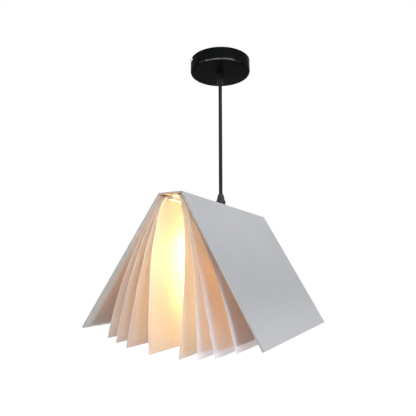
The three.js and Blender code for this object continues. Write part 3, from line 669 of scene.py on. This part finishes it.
def make_canopy(material, painted_highlight, fading):
    """Spun cup with a rounded lower edge whose front arc is glossier as a painted highlight, a rolled rim and
    two screw holes.
    """
    low, high, size = span("canopy")
    outer = size.x / 2
    wall, edge, rim = 1.2 * MM, 3.5 * MM, 0.35 * MM
    screw_hole = 2.3 * MM
    edge_centre = (outer - edge, low.z + edge)
    profile = [(TUBE_BORE, low.z)]
    profile += arc_points(edge_centre, edge, -math.pi / 2, 0, steps=14)
    profile += arc_points((outer - rim, high.z - rim), rim, 0, math.pi / 2, steps=4)
    profile += arc_points((outer - wall + rim, high.z - rim), rim, math.pi / 2, math.pi, steps=4)
    profile += arc_points(edge_centre, edge - wall, 0, -math.pi / 2, steps=8)
    profile += [(TUBE_BORE, low.z + wall)]
    screw_low, screw_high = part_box("canopy_screw_left")
    raised = Matrix.Translation((0, 0, (screw_low.z + screw_high.z) / 2))
    turned = Matrix.Rotation(BRACKET_TURN, 4, "Z") @ Matrix.Rotation(math.pi / 2, 4, "Y")
    through = placed(drill(screw_hole, -2 * outer, 2 * outer), raised @ turned)
    made = piece(lathe(profile, FINE_SIDES, closed=True), "canopy_shell", material, "ceiling_end",
                 "canopy", cutters=[through])
    paint_front_highlight(made.data, outer - edge, painted_highlight, fading)


def paint_front_highlight(mesh, inner, painted_highlight, fading):
    """Gives the front arc of the rounded edge, past an inner radius and facing the camera, the glossy finish
    of a painted highlight and its fading ends.
    """
    front = Vector(CAMERA_PLACE[:2]).normalized()
    steepest, flattest = -0.7, -0.15
    mesh.materials.append(painted_highlight)
    mesh.materials.append(fading)
    for face in mesh.polygons:
        middle = Vector(face.center[:2])
        on_edge = middle.length > inner and steepest < face.normal.z < flattest
        turned_away = middle.angle(front) if on_edge else math.pi
        if turned_away < HIGHLIGHT_ARC:
            face.material_index = 1
        elif turned_away < HIGHLIGHT_FADING_ARC:
            face.material_index = 2


def make_pan_screw(name, material, seat, direction):
    """Pan-head screw; its head stands above the seat, along the direction."""
    diameter, length, head, height = 4 * MM, 6 * MM, 7 * MM, 2.4 * MM
    tip, chamfer = 0.3 * MM, 0.15 * MM
    straight = 0.45 * height
    profile = fillet([(0, -length), (diameter / 2, -length), (diameter / 2, 0)], tip, closed=False)
    profile += [(head / 2 - chamfer, 0), (head / 2, chamfer), (head / 2, straight)]
    profile += arc_points((0, straight), head / 2, 0, math.pi / 2, 10, height - straight)[1:-1]
    profile += [(0, height)]
    recess = cross_recess(length=0.58 * head, blade=0.13 * head, depth=0.55 * height, level=height)
    turn = direction.to_track_quat("Z", "Y").to_matrix().to_4x4()
    piece(lathe(profile, SMALL_SIDES), name + "_dressed", material, "ceiling_end", name,
          SHARP_CARVED, recess, Matrix.Translation(seat) @ turn)


def make_side_screws(material):
    """The two screws that hold the canopy to the bracket's legs."""
    outward = Vector((math.cos(BRACKET_TURN), math.sin(BRACKET_TURN), 0))
    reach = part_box("canopy")[1].x + SEAT_GAP
    for side, way in SIDE_SIGN.items():
        name = f"canopy_screw_{side}"
        low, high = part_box(name)
        seat = way * reach * outward + Vector((0, 0, (low.z + high.z) / 2))
        make_pan_screw(name, material, seat, way * outward)


def make_grip(material):
    """Cord grip: a plain barrel with softened edges and a tapered mouth."""
    low, high, size = span("cord_grip")
    outer = size.x / 2
    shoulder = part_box("canopy")[0].z
    mouth, taper, stem, softened = 4.2 * MM, 3.8 * MM, 5 * MM, 0.9 * MM
    screw_below = 8 * MM
    barrel = [(CORD_BORE, low.z), (mouth, low.z), (outer, low.z + taper), (outer, shoulder),
              (stem, shoulder), (stem, high.z), (CORD_BORE, high.z)]
    grub = grub_hole(shoulder - screw_below, size.x)
    piece(lathe(fillet(barrel, softened), ROUND_SIDES, closed=True), "cord_grip_dressed", material,
          "ceiling_end", "cord_grip", SHARP_CARVED, [grub])


# Cord


def make_cord(material):
    """Taut round flex between the grip's mouth and the cap's neck."""
    data = bpy.data.curves.new("pendant_cord_flex", "CURVE")
    data.dimensions = "3D"
    data.bevel_depth = CORD_DIAMETER / 2
    data.bevel_resolution = 8
    data.use_fill_caps = True
    spline = data.splines.new("POLY")
    spline.points.add(CORD_STEPS)
    for k in range(CORD_STEPS + 1):
        spline.points[k].co = (0, 0, CORD_TOP - CORD_LENGTH * k / CORD_STEPS, 1)
    data.materials.append(material)
    made = add_object("pendant_cord_flex", data)
    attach(made, "cord")
    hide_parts("pendant_cord")


def make_cap(material):
    """Bell-shaped cord cap: a straight foot, a step and a taper up to its neck."""
    low, _, size = span("cord_cap")
    foot, height = size.x / 2, size.z
    foot_height, step, step_height = 9.8 * MM, 1.2 * MM, 11 * MM
    shoulder, shoulder_height = 5.4 * MM, 17 * MM
    neck, neck_flare, neck_height = 3.9 * MM, 0.5 * MM, 20.2 * MM
    inside, inside_depth = TUBE_BORE, 10 * MM
    softened, screw_height = 0.9 * MM, 13.4 * MM
    bell = [
        (inside, 0),
        (foot, 0),
        (foot, foot_height),
        (foot - step, step_height),
        (shoulder, shoulder_height),
        (neck + neck_flare, neck_height),
        (neck, height),
        (CORD_BORE, height),
        (CORD_BORE, inside_depth),
        (inside, inside_depth),
    ]
    grub = grub_hole(low.z + screw_height, size.x)
    piece(lathe(fillet(bell, softened), ROUND_SIDES, closed=True, base=low.z), "cord_cap_dressed",
          material, "cord_end", "cord_cap", SHARP_CARVED, [grub])


# Book cover


def joint_place(name):
    return next(joint["pos_m"] for joint in frame["joints"] if joint["name"] == name)


def fold_frame(side):
    """Pivot line of a fold, with the directions down the cover and out of it."""
    place = joint_place(f"{side}_cover_fold")
    hang, sign = HANG[side], SIDE_SIGN[side]
    axis = Vector((place[0], 0, place[2]))
    down = Vector((sign * math.sin(hang), 0, -math.cos(hang)))
    out = Vector((sign * math.cos(hang), 0, math.sin(hang)))
    return axis, down, out


def set_map(mesh, coordinate_of):
    """Writes a map in metres, worked out from each corner's place."""
    layer = mesh.uv_layers.new(name="map")
    for loop in mesh.loops:
        layer.data[loop.index].uv = coordinate_of(mesh.vertices[loop.vertex_index].co)


def line_board(made, inward, lining, core):
    """Gives a board's inward face the lining and its two cut ends the core."""
    least_inward, least_endwise = 0.9, 0.7
    made.data.materials.append(lining)
    made.data.materials.append(core)
    for face in made.data.polygons:
        if face.normal.dot(inward) > least_inward:
            face.material_index = 1
        elif abs(face.normal.y) > least_endwise:
            face.material_index = 2


def make_cover(side, material, lining, core):
    """Cover board hanging from its fold, which takes a part of the cover's height. Its edges are
    rounded, apart from those at the fold, and its faces split in the middle, so that its map can
    count from both sides."""
    axis, down, out = fold_frame(side)
    outer = FOLD_INSIDE + BOARD
    bend = math.pi / 2 - HANG[side]
    length = COVER_HEIGHT - outer * math.tan(bend / 2)
    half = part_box(f"{side}_cover")[1].y
    slab = box_between((FOLD_INSIDE, -half, 0), (outer, half, length))
    round_edges(slab, [edge for edge in slab.edges
                       if any(abs(vertex.co.z) > TOUCH for vertex in edge.verts)])
    bmesh.ops.bisect_plane(slab, geom=[*slab.verts, *slab.edges, *slab.faces],
                           plane_co=(0, 0, 0), plane_no=(0, 1, 0))
    turn = Matrix((out, Vector((0, 1, 0)), down)).transposed().to_4x4()
    if side == "left":
        turn = turn @ Matrix.Diagonal((1, -1, 1, 1))
    made = piece(placed(slab, Matrix.Translation(axis) @ turn), f"{side}_cover_board", material,
                 f"{side}_cover_board", f"{side}_cover")
    line_board(made, -out, lining, core)
    set_map(made.data, lambda place: (half - abs(place.y), length - (place - axis).dot(down)))


def make_fold(side, material, core):
    """Bent strip of the cover's skin between spine and cover."""
    axis, _, out = fold_frame(side)
    outer = FOLD_INSIDE + BOARD
    inner = outer - FOLD_WEB
    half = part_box(f"{side}_fold")[1].y
    stations = []
    for k in range(FILLET_STEPS + 1):
        turn = math.pi / 2 * k / FILLET_STEPS
        stations.append((half - EDGE_ROUND * (1 - math.sin(turn)), EDGE_ROUND * (1 - math.cos(turn))))
    bm = bmesh.new()
    rows = []
    bend = range(FOLD_STEPS + 1)
    for y, inset in [(-y, inset) for y, inset in reversed(stations)] + stations:
        row = []
        for radius, steps in ((outer - inset, bend), (inner + inset, reversed(bend))):
            for k in steps:
                angle = math.pi / 2 + (HANG[side] - math.pi / 2) * k / FOLD_STEPS
                x = axis.x + SIDE_SIGN[side] * radius * math.cos(angle)
                row.append(bm.verts.new((x, y, axis.z + radius * math.sin(angle))))
        rows.append(row)
    total = len(rows[0])
    for first, second in zip(rows, rows[1:]):
        for k in range(total):
            following = (k + 1) % total
            bm.faces.new((first[k], first[following], second[following], second[k]))
    bm.faces.new(rows[0])
    bm.faces.new(rows[-1])
    made = piece(bm, f"{side}_fold_skin", material, None, f"{side}_fold", SHARP_RIBBED)
    line_board(made, -out, material, core)
    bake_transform(made)


# Depth of the countersunk heads of the rail screws
SCREW_SINK = 1.4 * MM


def make_spine(material, lining, core):
    """Spine board with the tube's hole and countersunk holes for the rail screws."""
    low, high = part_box("spine_board")
    below, above = low.z - OVERRUN, high.z + OVERRUN
    shank, head = 1.55 * MM, 2.8 * MM
    left, right = fold_frame("left")[0].x, fold_frame("right")[0].x
    bm = box_between((left, low.y, low.z), (right, high.y, high.z))
    round_edges(bm, [edge for edge in bm.edges
                     if all(abs(abs(vertex.co.y) - high.y) < TOUCH for vertex in edge.verts)
                     and abs(edge.verts[0].co.z - edge.verts[1].co.z) < TOUCH])
    holes = [drill(TUBE_BORE, below, above, ROUND_SIDES)]
    for side in HANG:
        for count in RAIL_SCREWS:
            screw_low, screw_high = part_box(f"{side}_rail_screw_{count}")
            middle = (screw_low + screw_high) / 2
            hole = lathe([(0, below), (shank, below), (shank, high.z - SCREW_SINK),
                          (head, high.z), (head, above), (0, above)], SMALL_SIDES)
            holes.append(placed(hole, Matrix.Translation((middle.x, middle.y, 0))))
    made = piece(bm, "spine_board_dressed", material, "shade", "spine_board",
                 SHARP_TURNED, holes)
    line_board(made, Vector((0, 0, -1)), lining, core)


def make_rail_screw(name, material):
    """Countersunk screw with a cross recess, flush with the spine's top."""
    low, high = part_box(name)
    middle = (low + high) / 2
    radius, tip_height, head, rim = 1.25 * MM, 0.5 * MM, 2.5 * MM, 0.12 * MM
    tip = 0.6 * radius
    profile = [(0, low.z), (tip, low.z), (radius, low.z + tip_height), (radius, high.z - SCREW_SINK),
               (head, high.z - rim), (head - rim, high.z), (0, high.z)]
    recess = cross_recess(length=1.15 * head, blade=0.26 * head, depth=0.6 * SCREW_SINK, level=high.z)
    piece(lathe(profile, SMALL_SIDES), name + "_dressed", material, "shade", name,
          SHARP_CARVED, recess, Matrix.Translation((middle.x, middle.y, 0)))


# Pages

# Waves per metre along a sheet and down it, the power that they grow by, and what sets them apart
WAVES_ALONG = 9
WAVES_DOWN = 5
WAVE_GROWTH = 1.5
PAGE_SEED = 7.3
SIDE_SEED = 3.1


def page_angle(hang, fan, foot, share):
    """A sheet's angle from the vertical at a share of its drop, as in the solids."""
    t = math.sqrt(share)
    return hang * (1 - t) ** 2 + 2 * fan * t * (1 - t) + foot * t ** 2


def page_line(side, index):
    """Middle line of a page from its tongue down to its free edge: (x, z, angle, way down)."""
    hang = HANG[side]
    fan = math.radians(FAN_ANGLES[side][index])
    foot = math.radians(FOOT_ANGLES[side][index])
    place = joint_place(f"{side}_page_{index + 1}_bend")
    x, z = abs(place[0]), place[2]
    tongue = (x - PAGE_TONGUE * math.sin(hang), z + PAGE_TONGUE * math.cos(hang), hang, -PAGE_TONGUE)
    line = [tongue, (x, z, hang, 0)]
    step = PAGE_DROP / PAGE_STEPS
    for k in range(PAGE_STEPS):
        middle = page_angle(hang, fan, foot, (k + 0.5) / PAGE_STEPS)
        x += step * math.sin(middle)
        z -= step * math.cos(middle)
        line.append((x, z, page_angle(hang, fan, foot, (k + 1) / PAGE_STEPS), (k + 1) * step))
    return line


def sheet_corners(rows, columns):
    """Corners (skin, row, column) of the faces of a closed thin sheet with two skins."""
    faces = []
    for way in (1, -1):
        for row in range(rows):
            for column in range(columns):
                faces.append([(way, row, column), (way, row, column + 1),
                              (way, row + 1, column + 1), (way, row + 1, column)])
    rims = [((row, column), (row + 1, column)) for row in range(rows) for column in (0, columns)]
    rims += [((row, column), (row, column + 1)) for column in range(columns) for row in (0, rows)]
    for start, end in rims:
        faces.append([(1, *start), (1, *end), (-1, *end), (-1, *start)])
    return faces


def make_page(side, index, material):
    """Thin curved sheet with a faint wave that grows toward its free edge. Its map counts from
    the nearer side and from the foot."""
    name = f"{side}_page_{index + 1}"
    sign = SIDE_SIGN[side]
    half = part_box(name)[1].y
    line = page_line(side, index)
    seed = PAGE_SEED * index + SIDE_SEED * sign
    bm = bmesh.new()
    layer = bm.loops.layers.uv.new("map")
    grid = {}
    where = {}
    for way in (1, -1):
        for row, (x, z, angle, down) in enumerate(line):
            loose = (max(down, 0) / PAGE_DROP) ** WAVE_GROWTH
            for column in range(PAGE_COLUMNS + 1):
                y = half * (2 * column / PAGE_COLUMNS - 1)
                wave = noise(Vector((y * WAVES_ALONG, down * WAVES_DOWN, seed)))
                shift = PAGE_WAVE * loose * wave + way * PAGE_THICKNESS / 2
                place = (sign * (x + shift * math.cos(angle)), y, z + shift * math.sin(angle))
                vertex = bm.verts.new(place)
                grid[way, row, column] = vertex
                where[vertex] = (y, down)
    for corners in sheet_corners(len(line) - 1, PAGE_COLUMNS):
        face = bm.faces.new([grid[corner] for corner in corners])
        for loop in face.loops:
            y, down = where[loop.vert]
            loop[layer].uv = (half - abs(y), PAGE_DROP - down)
    piece(bm, name + "_sheet", material, f"{side}_sheet_{index + 1}", name)


# Lampholder and lamp

HOLDER_WALL = 1.4 * MM


def make_holder_cap(material):
    """Upper shell of the lampholder: a dome with a collar for the threaded tube."""
    low, high, size = span("lampholder_cap")
    outer, wall = size.x / 2, HOLDER_WALL
    collar, collar_drop, chamfer = 7.7 * MM, 5 * MM, 0.4 * MM
    dome_drop = 8 * MM
    axis = (collar - wall, high.z - collar_drop - dome_drop)

    def dome(radius, rise):
        return arc_points(axis, radius - collar + wall, 0, math.pi / 2, 12, rise)

    profile = [(outer - wall, low.z), (outer, low.z)]
    profile += dome(outer, dome_drop)[:-1]
    profile += [
        (collar, high.z - collar_drop),
        (collar, high.z - chamfer),
        (collar - chamfer, high.z),
        (TUBE_BORE, high.z),
        (TUBE_BORE, high.z - collar_drop - wall),
    ]
    profile += dome(outer - wall, dome_drop - wall)[::-1]
    piece(lathe(profile, ROUND_SIDES, closed=True), "lampholder_cap_dressed", material, "cord_end",
          "lampholder_cap", SHARP_TURNED)


def make_holder_skirt(material):
    """Lower shell of the lampholder: a skirt with an inner ledge and a spigot into the cap."""
    low, high, size = span("lampholder_body")
    cap_low, cap_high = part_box("lampholder_cap")
    outer, wall = size.x / 2, HOLDER_WALL
    inner = outer - wall
    rim = cap_low.z - SEAT_GAP
    spigot = cap_high.x - wall - SEAT_GAP
    core_hold, ledge_bore, softened = 5 * MM, 8.8 * MM, 0.5 * MM
    ledge_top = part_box("lampholder_core")[1].z - core_hold
    skirt = [
        (inner, low.z),
        (outer, low.z),
        (outer, rim),
        (spigot, rim),
        (spigot, high.z),
        (spigot - wall, high.z),
        (spigot - wall, ledge_top),
        (ledge_bore, ledge_top),
        (ledge_bore, ledge_top - wall),
        (inner, ledge_top - wall),
    ]
    piece(lathe(fillet(skirt, softened), ROUND_SIDES, closed=True), "lampholder_skirt", material,
          "cord_end", "lampholder_body", SHARP_TURNED)


def ribs(radius, depth, start, height, count, steps):
    """Points of the smooth ribs of a rolled thread, that dip by a depth from a radius."""
    points = []
    for k in range(count * steps + 1):
        share = k / (count * steps)
        dip = depth * (1 - math.cos(2 * math.pi * count * share)) / 2
        points.append((radius - dip, start + height * share))
    return points


def make_screw_shell(material):
    """Thin brass shell with the thread's ribs and a lip round the centre contact."""
    low, high, size = span("screw_shell")
    outer = size.x / 2
    lip, thin = 6.6 * MM, 0.5 * MM
    rib_depth, rib_start, plain_height = 0.22 * MM, 0.8 * MM, 2.4 * MM
    profile = [(outer - thin, low.z), (outer, low.z)]
    profile += ribs(outer, rib_depth, low.z + rib_start, size.z - plain_height, count=5, steps=6)[:-1]
    profile += [(outer, high.z), (lip, high.z), (lip, high.z - thin), (outer - thin, high.z - thin)]
    piece(lathe(profile, ROUND_SIDES, closed=True), "screw_shell_dressed", material, "cord_end",
          "screw_shell", SHARP_RIBBED)


def make_lamp_glass(material):
    """Tube-shaped glass shell with a domed end and a rounded shoulder round its neck."""
    low, high, size = span("lamp_glass")
    radius = size.x / 2
    shoulder, wall = 7 * MM, 1 * MM
    neck = radius - shoulder

    def skin(inset):
        domed_end = arc_points((0, low.z + radius), radius - inset, -math.pi / 2, 0, steps=20)[1:]
        top = arc_points((neck, high.z - shoulder), shoulder - inset, 0, math.pi / 2, steps=12)[:-1]
        return domed_end + top

    profile = [(0, low.z)] + skin(0) + [(neck, high.z), (neck, high.z - wall)]
    profile += skin(wall)[::-1] + [(0, low.z + wall)]
    piece(lathe(profile, ROUND_SIDES), "lamp_glass_dressed", material, "lamp", "lamp_glass")


def make_lamp_collar(material):
    """Housing between the lamp's base and its glass."""
    low, high, size = span("lamp_collar")
    wide, neck, step, softened = size.x / 2, 8 * MM, 2 * MM, 1.6 * MM
    collar = [(0, low.z), (wide, low.z), (wide, low.z + step), (neck, high.z - step),
              (neck, high.z), (0, high.z)]
    piece(lathe(fillet(collar, softened, closed=False), ROUND_SIDES), "lamp_collar_dressed", material,
          "lamp", "lamp_collar", SHARP_TURNED)


def make_lamp_base(material):
    """Screw base with the thread's ribs and the tip of its contact."""
    low, high, size = span("lamp_base")
    crest = size.x / 2
    rib_depth, tip, tip_height, threads = 0.55 * MM, 2.3 * MM, 1.8 * MM, 4
    root = crest - rib_depth
    base_top = high.z - tip_height
    pitch = (base_top - low.z) / (threads + 2)
    start = low.z + 0.1 * pitch
    profile = [(0, low.z), (root, low.z)]
    profile += ribs(root, -rib_depth, start, threads * pitch, threads, steps=8)
    profile += [(root, base_top - pitch), (tip, base_top), (tip, high.z), (0, high.z)]
    piece(lathe(profile, ROUND_SIDES), "lamp_base_dressed", material, "lamp", "lamp_base",
          SHARP_RIBBED)


# Studio

WORLD_LIGHT = 0.35
FLOOR_LEVEL = -1.7
FLOOR_REACH = 14
FLOOR_GLOW = 0.72


def background_share(owner):
    """1 for camera, glossy and transmission rays, 0 for the light that scatters through a sheet."""
    rays = node(owner, "ShaderNodeLightPath")
    seen = compute(owner, "MAXIMUM", rays.outputs["Is Camera Ray"], rays.outputs["Is Glossy Ray"])
    seen = compute(owner, "MAXIMUM", seen, rays.outputs["Is Transmission Ray"])
    return compute(owner, "SUBTRACT", seen, rays.outputs["Is Diffuse Ray"], use_clamp=True)


def make_world():
    """White to the eye and in reflections, and a soft cool light on the object."""
    world = bpy.data.worlds.new("studio")
    bpy.context.scene.world = world
    world.use_nodes = True
    shown = world.node_tree.nodes["Background"]
    light = node(world, "ShaderNodeBackground")
    for shader, colour, strength in ((shown, (1, 1, 1), 1), (light, (0.97, 0.985, 1.0), WORLD_LIGHT)):
        feed(world, colour, shader.inputs["Color"])
        feed(world, strength, shader.inputs["Strength"])
    both = mixed_shader(world, background_share(world), light.outputs["Background"],
                        shown.outputs["Background"])
    link(world, both, world.node_tree.nodes["World Output"].inputs["Surface"])


def make_floor():
    """Wide pale floor that shows white and keeps a soft shadow."""
    bm = bmesh.new()
    bmesh.ops.create_grid(bm, x_segments=1, y_segments=1, size=FLOOR_REACH)
    floor = mesh_object(bm, "studio_floor")
    floor.location.z = FLOOR_LEVEL
    material = principled("floor_white", Base_Color=(0.86, 0.86, 0.86), Roughness=0.9,
                          Specular_IOR_Level=0.1, Emission_Color=(1, 1, 1))
    strength = compute(material, "MULTIPLY", background_share(material), FLOOR_GLOW)
    link(material, strength, shader_of(material).inputs["Emission Strength"])
    floor.data.materials.append(material)


# Soft lights: name, place, size and power; all aim at the middle of the object
LIGHT_AIM = Vector((0, 0, -0.3))
LIGHTS = [
    ("key", (1.7, -1.2, 0.9), 1.6, 32),
    ("fill", (-1.5, -1.6, -0.2), 1.6, 6),
    ("front", (0.5, -2.0, -0.5), 0.7, 3.5),
    ("back", (-0.6, 1.8, 0.6), 1.4, 9),
]


def area_light(name, place, size, power):
    data = bpy.data.lights.new(name, "AREA")
    data.shape = "DISK"
    data.size = size
    data.energy = power
    light = add_object(name, data)
    light.location = place
    light.rotation_euler = (LIGHT_AIM - Vector(place)).to_track_quat("-Z", "Y").to_euler()


def make_studio():
    make_world()
    make_floor()
    for light in LIGHTS:
        area_light(*light)
    bpy.context.scene.view_settings.view_transform = "Standard"


# The whole lamp


def dress(names, material):
    """CAD nodes whose shape is right keep it and take a finish."""
    for name in names:
        mesh = frame["nodes"][name].data
        mesh.materials.clear()
        mesh.materials.append(material)
        mesh.shade_smooth()
        sharpen(mesh, SHARP_PLAIN)


def dress_wires():
    """Live and neutral wires have two parts each, and the earth wire has its upper part alone."""
    wires = {"live": (0.16, 0.06, 0.03), "neutral": (0.03, 0.11, 0.33), "earth": (0.22, 0.36, 0.03)}
    for lead, colour in wires.items():
        ends = [f"{lead}_wire_{end}" for end in ("upper", "lower")]
        dress([end for end in ends if end in frame["nodes"]], insulation(f"{lead}_insulation", colour))


def make_ceiling_end(black, nickel):
    # Two of the canopy's finishes are glossier only on its front arc: a painted highlight
    make_canopy(canopy_paint("canopy_paint", gloss=0.005, rough=0.28),
                canopy_paint("canopy_highlight", gloss=1.0, rough=0.16),
                canopy_paint("canopy_highlight_fading", gloss=0.12, rough=0.2))
    make_grip(moulded_black("grip_black", gloss=0.12))
    make_side_screws(nickel)
    make_cap(black)


def make_book(nickel):
    board, lining = cover_board(), cover_lining()
    grey_core = board_core("board_core_grey", (0.59, 0.575, 0.55))
    # The spine's cut ends are painted brown as painted warm shade; the covers' ends are grey
    painted_shade_core = board_core("board_core_painted_shade", (0.62, 0.51, 0.45))
    rail = moulded_white("rail_white", (0.86, 0.80, 0.71), 0.42, 0.56)
    sheets = page_sheets()
    make_spine(board, spine_lining(), painted_shade_core)
    for side in HANG:
        make_cover(side, board, lining, grey_core)
        make_fold(side, board, grey_core)
        for index, sheet in enumerate(sheets[side]):
            make_page(side, index, sheet)
        for count in RAIL_SCREWS:
            make_rail_screw(f"{side}_rail_screw_{count}", nickel)
        dress([f"{side}_page_rail"], rail)


def dress_all():
    black = moulded_black("moulded_black", gloss=0.35)
    sheath = cord_sheath()
    nickel = plated("nickel_plate", (0.72, 0.70, 0.67), 0.18, 0.3)
    zinc = plated("zinc_plate", (0.60, 0.60, 0.59), 0.3, 0.42)
    brass = plated("plain_brass", (0.80, 0.60, 0.28), 0.24, 0.36)
    white = moulded_white("holder_white", (0.88, 0.87, 0.84), 0.32, 0.44)

    make_cord(sheath)
    make_ceiling_end(black, nickel)
    make_book(nickel)
    make_holder_cap(white)
    make_holder_skirt(white)
    make_screw_shell(brass)
    make_lamp_glass(lit_glass())
    make_lamp_collar(white)
    make_lamp_base(nickel)

    dress(["ceiling_bracket"], brushed_strap())
    dress(["grip_nut", "threaded_tube", "tube_washer", "tube_nut", "terminal_block_screw"], zinc)
    dress(["earth_screw", "centre_contact"], brass)
    dress(["terminal_block", "lampholder_core", "lamp_light_post"], white)
    dress(["grip_screw", "cap_screw"], black)
    dress(["cord_tail_upper", "cord_tail_lower"], sheath)
    dress_wires()


make_camera()
dress_all()
make_studio()
